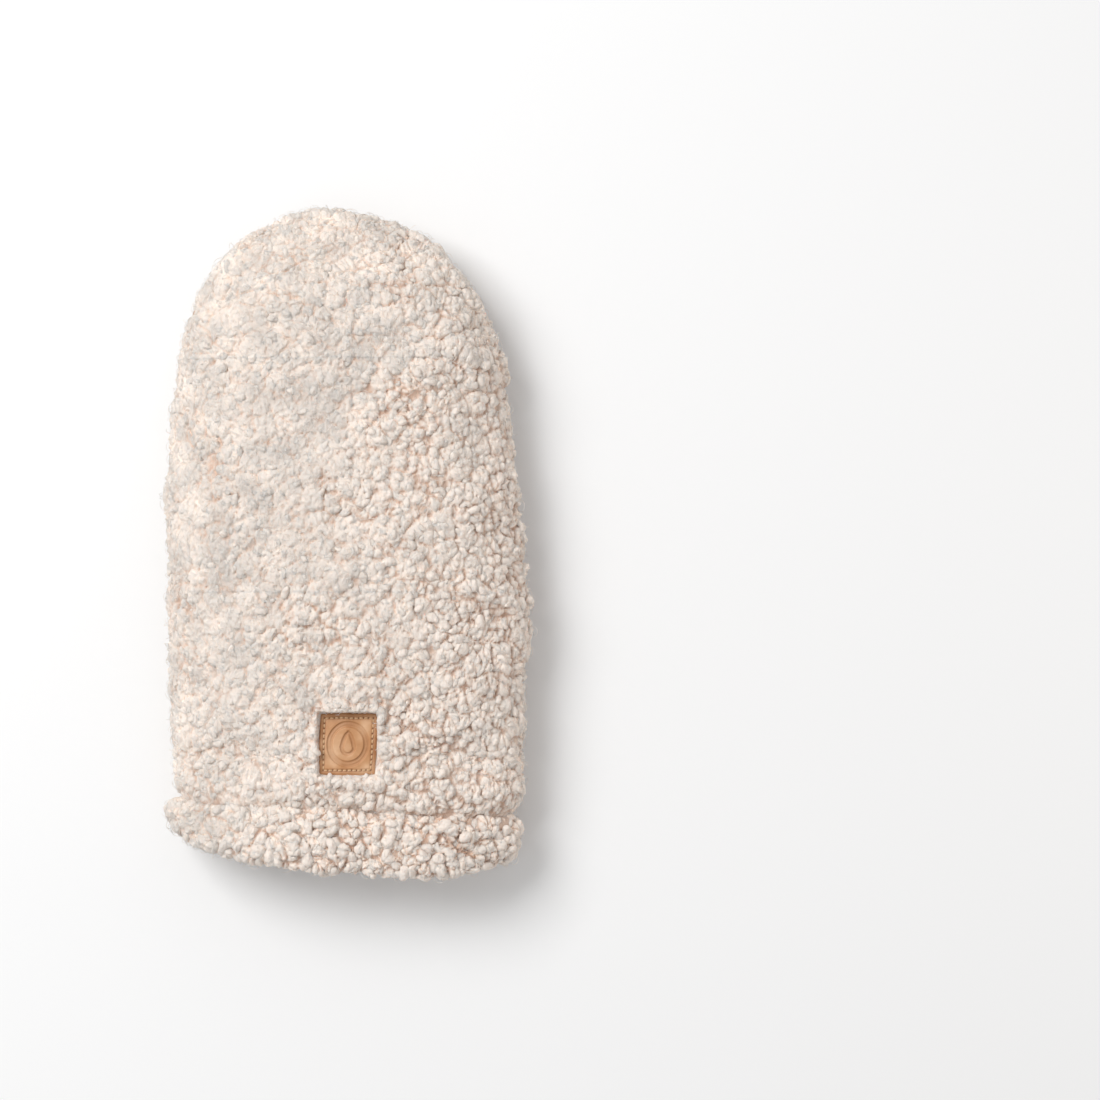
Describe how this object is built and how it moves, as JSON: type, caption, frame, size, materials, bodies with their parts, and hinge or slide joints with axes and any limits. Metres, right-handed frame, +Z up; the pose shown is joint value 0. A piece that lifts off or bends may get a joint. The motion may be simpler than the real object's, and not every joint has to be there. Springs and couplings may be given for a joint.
{
  "type": "wash mitt",
  "caption": "Thumbless wash mitt: a padded, lined hand pocket of curly cream pile with a plump cuff round its mouth and a small stitched tan leather patch.",
  "frame": {"origin": "on the surface that the mitt lies on, under the middle of it", "axes": "+Y along the mitt towards its rounded fingertip end, -Y out of its mouth, +Z up out of the front with the leather patch, +X across it"},
  "size_m": [0.1596, 0.295, 0.049],
  "materials": {
    "curly_pile": "soft curly looped pile, cream with a warm pinkish cast in its hollows",
    "wadding": "white polyester wadding",
    "brushed_lining": "brushed knit, cream",
    "tan_leather": "smooth tan leather with a soft sheen, debossed",
    "gold_thread": "twisted light tan thread",
    "sewing_thread": "cream sewing thread"
  },
  "bodies": {
    "root": {"front_pile_panel": "curly_pile", "back_pile_panel": "curly_pile", "cuff_front": "curly_pile", "cuff_back": "curly_pile", "front_wadding": "wadding", "back_wadding": "wadding", "front_lining": "brushed_lining", "back_lining": "brushed_lining", "leather_patch": "tan_leather", "patch_thread": "gold_thread", "cuff_topstitch": "sewing_thread", "shell_seam": "sewing_thread", "lining_seam": "sewing_thread"}
  },
  "joints": []
}
